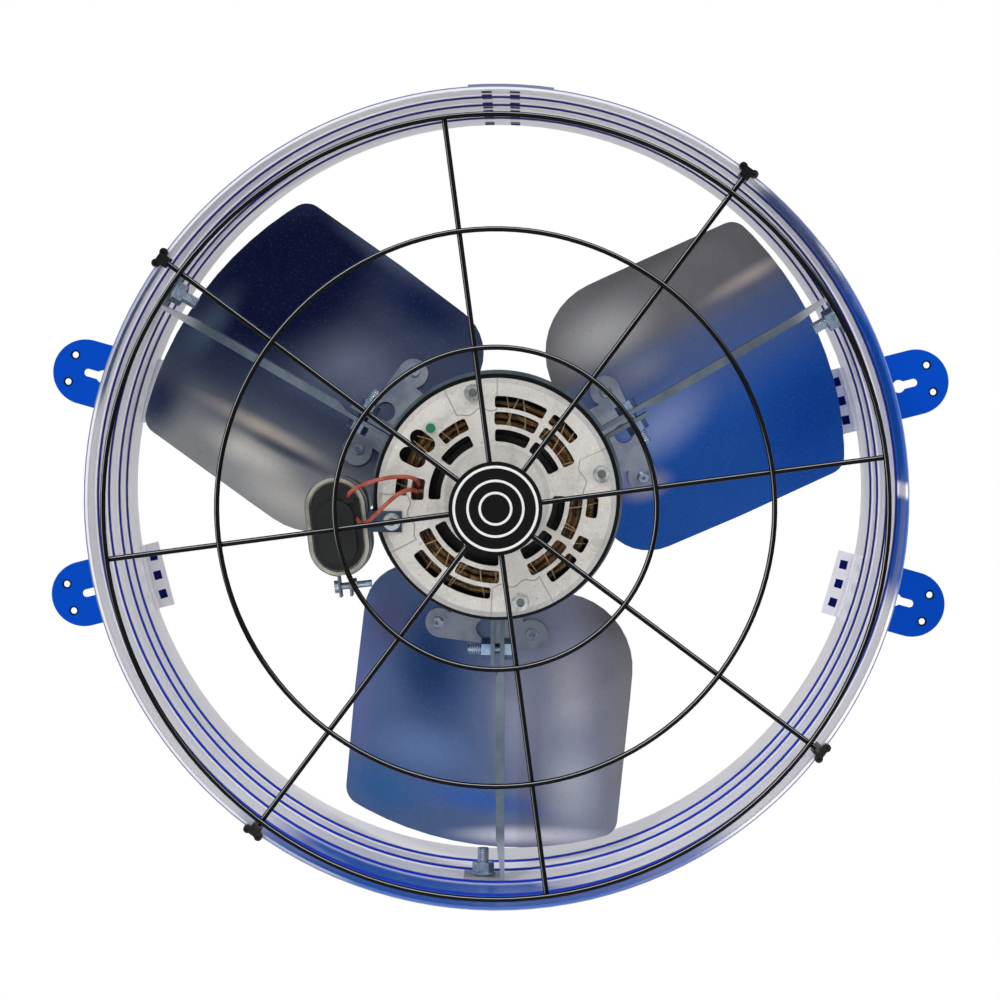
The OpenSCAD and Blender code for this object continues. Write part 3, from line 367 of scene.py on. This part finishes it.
def plain_metals():
    p = zinc("strap_zinc", rgb(108, 121, 132), 0.42, rgb(78, 92, 106), 60.0)
    radius, _, _ = p.polar()
    p.over(rgb(196, 200, 204), p.span(radius, 0.196, 0.216, 0.0, 0.9))
    p.bump(p.noise(30.0, 2.0, stretch=(1.0, 30.0, 1.0)), 0.0001, 0.3)
    paint_node(p, "arm_right", "arm_left", "arm_bottom")
    # The blue in these bolts' cloudy colour is a painted reflection
    p = zinc("bolt_zinc", rgb(178, 192, 204), 0.24, rgb(74, 112, 156))
    paint_node(p, "foot_bolts", "foot_nuts", "strap_screw")
    p = zinc("through_zinc", rgb(104, 106, 106), 0.34, rgb(62, 64, 66))
    paint_node(p, "through_bolts")
    # The strong blue in the clamps' cloudy colour is a painted reflection
    p = zinc("clamp_zinc", rgb(150, 172, 192), 0.24, rgb(26, 70, 150), 90.0)
    paint_node(p, "clamp_bolts", "clamp_nuts")
    p = zinc("nut_zinc", rgb(176, 182, 180), 0.24, rgb(92, 96, 96))
    paint_node(p, "through_nuts", "strap_nut")
    p = zinc("capacitor_steel", rgb(128, 134, 138), 0.4, rgb(62, 74, 88), 80.0)
    paint_node(p, "capacitor_strap")
    p = zinc("bracket_zinc", rgb(66, 80, 102), 0.4, rgb(34, 46, 66), 80.0)
    paint_node(p, "capacitor_bracket")
    p = zinc("hub_steel", rgb(180, 184, 188), 0.35, rgb(128, 132, 138))
    paint_node(p, "fan_hub", "motor_shaft", "bearing_front", "bearing_rear")
    p = zinc("rivet_steel", rgb(176, 190, 206), 0.3, rgb(72, 92, 124))
    paint_node(p, "rivets")
    p = Paint("core_steel", rgb(38, 37, 38), 0.55, 0.5)
    p.over(rgb(74, 66, 60), p.span(p.noise(90.0, 4.0), 0.5, 0.8, 0.0, 0.6))
    lines = p.new("ShaderNodeTexWave", bands_direction="Y")
    lines.inputs["Scale"].default_value = 300.0
    p.put(lines.inputs["Vector"], p.co)
    p.bump(lines.outputs["Fac"], 0.0001, 0.6)
    paint_node(p, "stator_core", "rotor_core")


# Motor: black shell and cast end bells with raised pads between the vents
def motor_paint():
    p = Paint("shell_black", rgb(8, 8, 9), 0.3, 0.0, Specular_IOR_Level=0.1)
    p.over(rgb(30, 30, 32), p.both(p.noise(80.0, 3.0), 0.6))
    p.bump(p.noise(600.0, 2.0), 0.0001, 0.4)
    paint_node(p, "motor_shell")
    p = Paint("cast_metal", rgb(207, 204, 199), 0.5, 0.3)
    p.over(rgb(168, 164, 158), p.span(p.noise(48.0, 4.0, 0.6), 0.45, 0.75, 0.0, 0.6))
    p.over(rgb(232, 230, 226), p.span(p.noise(420.0, 3.0, 0.7), 0.55, 0.75, 0.0, 0.7))
    p.over(rgb(130, 126, 120), p.span(p.noise(520.0, 3.0, 0.7), 0.57, 0.78, 0.0, 0.75))
    radius, angle, depth = p.polar()
    p.over(rgb(120, 116, 112), p.span(depth, 0.0425, 0.047, 0.0, 0.55))
    p.bump(p.noise(700.0, 4.0, 0.7), 0.0003, 0.55)
    pads = p.sector(angle, 13.5, 11.0, 1.2)
    for centre, half in ((103.5, 12.5), (193.5, 14.0), (283.5, 15.0)):
        pads = p.math("MAXIMUM", pads, p.sector(angle, centre, half, 1.2))
    wavy = p.math("ADD", radius, p.both(p.math("SINE", p.both(angle, 24.0)), 0.0012))
    pads = p.both(pads, p.span(wavy, 0.0500, 0.0508))
    p.bump(pads, 0.0008, 1.0)
    edge = p.both(pads, p.math("SUBTRACT", 1.0, pads))
    p.over(rgb(150, 146, 140), p.both(edge, 1.1))
    paint_node(p, "end_bell_front", "end_bell_rear")
    p = Paint("green_screw", rgb(20, 128, 96), 0.4, 0.3)
    p.over(rgb(8, 84, 60), p.both(p.noise(300.0, 2.0), 0.8))
    paint_node(p, "ground_screw")


def winding_paint():
    p = Paint("winding_varnish", rgb(166, 120, 60), 0.36, 0.35, Coat_Weight=0.4, Coat_Roughness=0.2)
    p.over(rgb(50, 30, 14), p.span(p.noise(120.0, 4.0, 0.6), 0.42, 0.64, 0.0, 0.9))
    # Light gold streaks: painted highlights on the wire
    p.over(rgb(224, 192, 120), p.span(p.noise(210.0, 4.0, 0.6, warp=1.0), 0.54, 0.70, 0.0, 0.9))
    p.over(rgb(120, 34, 20), p.span(p.noise(90.0, 3.0), 0.56, 0.68, 0.0, 0.8))
    radius, _, depth = p.polar()
    strands = p.math("SINE", p.both(p.math("ADD", radius, p.both(depth, 0.7)), 9000.0))
    p.bump(strands, 0.00025, 0.7)
    paint_node(p, "winding_front", "winding_rear")


def capacitor_paint():
    p = Paint("can_metal", rgb(172, 170, 158), 0.36, 0.6)
    p.over(rgb(92, 92, 82), p.span(p.noise(50.0, 4.0), 0.40, 0.70, 0.0, 0.8))
    p.bump(p.noise(300.0, 3.0), 0.0001, 0.3)
    paint_node(p, "capacitor_can")
    p = Paint("boot_rubber", rgb(27, 29, 30), 0.32, 0.0, Specular_IOR_Level=0.2)
    p.over(rgb(14, 14, 14), p.span(p.noise(60.0, 4.0), 0.5, 0.8, 0.0, 0.6))
    p.bump(p.noise(160.0, 3.0), 0.0004, 0.5)
    paint_node(p, "capacitor_boot")
    p = Paint("lead_red", rgb(182, 90, 70), 0.45, 0.0)
    p.over(rgb(122, 38, 26), p.span(p.noise(90.0, 3.0), 0.4, 0.7, 0.0, 0.8))
    paint_node(p, "lead_upper", "lead_lower")


# Blades: mill-finish sheet whose broad reflections are drawn on each blade
def blade_finish(p, node):
    spangle = p.noise(620.0, 3.0, 0.7)
    p.over(rgb(170, 176, 190), p.span(spangle, 0.52, 0.8, 0.0, 0.10))
    p.over(rgb(30, 40, 66), p.span(spangle, 0.48, 0.2, 0.0, 0.22))
    p.rough(p.span(p.noise(24.0, 3.0), 0.3, 0.7, 0.34, 0.5))
    p.bump(p.noise(900.0, 3.0, 0.7), 0.00005, 0.3)
    paint_node(p, node)


def tone(r, g, b):
    return rgb(*(min(255.0, 1.08 * c) for c in (r, g, b)))


def reflections(name, node, base, areas):
    """Areas are a colour, a centre, and either two radii, a turn and softness, or a line's turn and width."""
    p = Paint(name, tone(*base), 0.4, 0.0, Specular_IOR_Level=0.1)
    for colour, place, *rest in areas:
        p.over(tone(*colour), p.spot(place, *rest) if len(rest) == 3 else p.half(place, *rest))
    blade_finish(p, node)


def blade_paint():
    reflections("blade_left", "blade_2", (60, 70, 96), (
        ((134, 136, 138), (-126, 28), -26, 52),
        ((98, 106, 128), (-92, 76), (66, 32), -30, 1.0),
        ((0, 12, 54), (-128, 130), (98, 62), 41, 0.6),
        ((14, 32, 76), (-48, 112), (56, 24), -30, 1.0),
        ((88, 100, 124), (-66, 148), (66, 17), -31, 1.0),
        ((62, 78, 100), (-178, 96), (44, 14), 55, 1.0),
        ((42, 52, 78), (-204, 54), (24, 34), -20, 0.9),
        ((190, 186, 180), (-150, 22), (44, 13), -30, 1.0),
        ((172, 164, 156), (-142, 37), (58, 7), -27, 1.0),
        ((70, 74, 84), (-126, 22), (48, 5), -27, 1.0),
        ((170, 168, 164), (-122, -8), (56, 15), -30, 1.0),
    ))
    reflections("blade_right", "blade_1", (102, 102, 106), (
        ((160, 160, 162), (62, 94), (46, 26), 29, 1.0),
        ((82, 82, 84), (84, 140), (80, 14), 27, 1.0),
        ((164, 154, 150), (150, 132), (46, 7), 31, 1.0),
        ((80, 96, 138), (132, 112), 30, 22),
        ((22, 78, 158), (150, 82), 31, 60),
        ((118, 136, 184), (98, 40), (52, 24), 40, 1.0),
        ((2, 66, 154), (190, 44), (46, 64), 0, 1.0),
        ((112, 120, 144), (84, 74), (30, 14), 31, 1.0),
        ((158, 160, 182), (68, 12), (24, 16), 0, 1.0),
        ((150, 150, 170), (90, 4), (22, 13), 20, 1.0),
    ))
    reflections("blade_bottom", "blade_3", (122, 126, 146), (
        ((76, 96, 134), (4, -130), 274, 70),
        ((34, 64, 110), (-40, -108), (34, 56), 6, 0.9),
        ((162, 162, 174), (44, -118), (26, 44), 0, 1.0),
        ((80, 84, 122), (-68, -82), (20, 34), -10, 1.0),
        ((92, 102, 150), (-86, -132), (14, 60), 0, 1.0),
        ((88, 114, 158), (-44, -160), (48, 22), -8, 1.0),
        ((48, 92, 144), (-70, -186), (40, 26), -20, 1.0),
        ((58, 94, 162), (-10, -188), (62, 13), -6, 1.0),
        ((140, 144, 164), (16, -128), (26, 66), 4, 1.0),
        ((112, 110, 112), (66, -120), 94, 46),
        ((90, 88, 92), (70, -72), (32, 24), -30, 1.0),
        ((158, 162, 174), (46, -176), (24, 36), 0, 1.0),
        ((208, 208, 220), (20, -208), (60, 8), 3, 1.0),
        ((118, 126, 144), (80, -196), (18, 22), 0, 1.0),
    ))
    p = Paint("spider_steel", rgb(150, 158, 170), 0.40, 0.35)
    p.over(rgb(98, 114, 138), p.span(p.noise(60.0, 4.0), 0.4, 0.7, 0.0, 0.7))
    p.bump(p.noise(700.0, 2.0), 0.00006, 0.3)
    paint_node(p, "spider")


# Extra pieces
def mesh_object(name, verts, faces, smooth=False):
    mesh = bpy.data.meshes.new(name)
    mesh.from_pydata(verts, [], faces)
    mesh.validate()
    mesh.update()
    if smooth:
        mesh.shade_smooth()
    o = bpy.data.objects.new(name, mesh)
    bpy.context.scene.collection.objects.link(o)
    return o


def curve_object(name, lines, radius, sides=3):
    data = bpy.data.curves.new(name, "CURVE")
    data.dimensions = "3D"
    data.bevel_depth = radius
    data.bevel_resolution = sides
    data.use_fill_caps = True
    for pts in lines:
        s = data.splines.new("POLY")
        s.points.add(len(pts) - 1)
        for q, v in zip(s.points, pts):
            q.co = (*v, 1.0)
        s.use_smooth = True
    o = bpy.data.objects.new(name, data)
    bpy.context.scene.collection.objects.link(o)
    return o


def dress(o, paint, body="frame"):
    o.data.materials.append(paint.m)
    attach(o, body)
    return o


def around(angle):
    """Radial and turning directions at an angle in degrees, seen from the guard side."""
    a = math.radians(angle)
    return Vector((math.cos(a), 0.0, math.sin(a))), Vector((-math.sin(a), 0.0, math.cos(a)))


def badge_rings():
    p = Paint("ring_white", rgb(226, 226, 224), 0.5, 0.0)
    p.over(rgb(190, 190, 188), p.both(p.noise(200.0, 3.0), 0.5))
    lowest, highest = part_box("guard_badge_plate")
    centre, face = (Vector(lowest) + Vector(highest)) / 2, lowest[1]
    for i, (r0, r1) in enumerate(BADGE_RINGS):
        section = ((r0, 0.0), (r0 + RING_BEVEL, RING_HEIGHT), (r1 - RING_BEVEL, RING_HEIGHT), (r1, 0.0))
        verts = []
        faces = []
        for k in range(RING_STEPS):
            turn = 2 * math.pi * k / RING_STEPS
            c, s = math.cos(turn), math.sin(turn)
            for r, lift in section:
                verts.append((centre.x + r * MM * c, face - lift * MM, centre.z + r * MM * s))
        for k in range(RING_STEPS):
            for j in range(len(section) - 1):
                a, b = 4 * k + j, 4 * ((k + 1) % RING_STEPS) + j
                faces.append((a, a + 1, b + 1, b))
        o = mesh_object("badge_ring_%d" % (i + 1), verts, faces, True)
        dress(o, p)


def helix(base, along, across, up):
    """Points of a bolt's thread that runs backwards along one direction."""
    points = []
    for i in range(int(THREAD_STEPS * THREAD_TURNS)):
        turn = 2 * math.pi * i / THREAD_STEPS
        ring = across * math.cos(turn) + up * math.sin(turn)
        points.append(base - along * (THREAD_PITCH * i / THREAD_STEPS) + THREAD_R * ring)
    return points


def threads():
    p = zinc("thread_zinc", rgb(214, 222, 228), 0.25, rgb(120, 140, 160))
    up = Vector((0.0, 1.0, 0.0))
    lines = []
    for a in ARM_ANGLES:
        out, side = around(a)
        foot = out * FOOT_THREAD[0] + side * FOOT_THREAD[1] + up * (FRONT + BOLT_DEPTH)
        lines.append(helix(foot, out, side, up))
        clamp = out * CLAMP_THREAD[0] + side * CLAMP_THREAD[1] + up * (FRONT + BOLT_DEPTH)
        lines.append(helix(clamp, side, out, up))
    dress(curve_object("bolt_threads", lines, 0.00036), p)


def lacing():
    """Pale cords that tie the front winding, seen through the vents."""
    p = Paint("lacing_cord", rgb(206, 184, 140), 0.7, 0.0)
    p.over(rgb(150, 122, 80), p.both(p.noise(400.0, 3.0), 0.8))
    front = FRONT + CORD_DEPTH
    lines = []
    for k in range(CORDS):
        a = 360.0 * k / CORDS + 3.0 * math.sin(2.3 * k)
        b = a + 2.0 + 7.0 * math.sin(1.7 * k)
        pts = []
        for i in range(CORD_STEPS + 1):
            f = i / CORD_STEPS
            out, _ = around(a + (b - a) * f)
            lift = 0.0016 * math.sin(math.pi * f) + 0.0004 * math.sin(5.0 * k + 3.0 * i)
            pts.append(out * (CORD_FROM_R + CORD_REACH * f) + Vector((0.0, front - lift, 0.0)))
        lines.append(pts)
        out, _ = around(b)
        lines.append([pts[-1], out * 0.0578 + Vector((0.0, front + 0.004, 0.0)),
                      out * 0.0580 + Vector((0.0, front + 0.010, 0.0))])
    dress(curve_object("winding_lacing", lines, 0.0004, sides=2), p)


def stage():
    verts = [(-FLOOR_X, FLOOR_FRONT, FLOOR_Z), (FLOOR_X, FLOOR_FRONT, FLOOR_Z),
             (FLOOR_X, FLOOR_BACK, FLOOR_Z), (-FLOOR_X, FLOOR_BACK, FLOOR_Z)]
    floor = mesh_object("floor", verts, [(0, 1, 2, 3)])
    m = bpy.data.materials.new("floor_white")
    m.use_nodes = True
    t = m.node_tree
    b = t.nodes["Principled BSDF"]
    b.inputs["Base Color"].default_value = (0.86, 0.86, 0.86, 1.0)
    b.inputs["Roughness"].default_value = 0.9
    glow = t.nodes.new("ShaderNodeEmission")
    mix = t.nodes.new("ShaderNodeMixShader")
    path = t.nodes.new("ShaderNodeLightPath")
    seen = t.nodes.new("ShaderNodeMath")
    seen.operation = "MULTIPLY"
    seen.inputs[1].default_value = FLOOR_SEEN
    t.links.new(path.outputs["Is Camera Ray"], seen.inputs[0])
    t.links.new(seen.outputs[0], mix.inputs[0])
    t.links.new(b.outputs[0], mix.inputs[1])
    t.links.new(glow.outputs[0], mix.inputs[2])
    t.links.new(mix.outputs[0], t.nodes["Material Output"].inputs[0])
    floor.data.materials.append(m)


def lights():
    world = bpy.data.worlds.new("studio")
    bpy.context.scene.world = world
    world.use_nodes = True
    t = world.node_tree
    back = t.nodes["Background"]
    path = t.nodes.new("ShaderNodeLightPath")
    camera = t.nodes.new("ShaderNodeMapRange")
    camera.inputs["To Min"].default_value = WORLD_LEVEL
    camera.inputs["To Max"].default_value = WORLD_SEEN
    t.links.new(path.outputs["Is Camera Ray"], camera.inputs[0])
    level = t.nodes.new("ShaderNodeMath")
    level.operation = "MULTIPLY_ADD"
    level.inputs[1].default_value = WORLD_GLOSS
    t.links.new(path.outputs["Is Glossy Ray"], level.inputs[0])
    t.links.new(camera.outputs[0], level.inputs[2])
    t.links.new(level.outputs[0], back.inputs[1])
    back.inputs[0].default_value = (1.0, 1.0, 1.0, 1.0)
    for name, place, size, power in (
        ("key", (-1.2, -2.2, 1.6), 1.2, 16.0),
        ("fill", (1.8, -1.8, 0.5), 1.4, 8.0),
        ("spark", (-0.9, -2.3, 1.3), 0.15, 8.0),
        ("back_light", (0.4, 1.8, 1.4), 1.6, 8.0),
        ("low", (0.0, -1.6, -0.45), 1.0, 3.0),
    ):
        data = bpy.data.lights.new(name, "AREA")
        data.shape = "DISK"
        data.size = size
        data.energy = power
        o = bpy.data.objects.new(name, data)
        o.location = place
        o.rotation_mode = "QUATERNION"
        o.rotation_quaternion = (Vector(AIM) - Vector(place)).to_track_quat("-Z", "Y")
        bpy.context.scene.collection.objects.link(o)


make_camera()
stage()
lights()
shroud_paint()
ear_paint()
wire_paint()
plain_metals()
motor_paint()
winding_paint()
capacitor_paint()
blade_paint()
badge_rings()
threads()
lacing()

bpy.context.scene.view_settings.view_transform = "Standard"
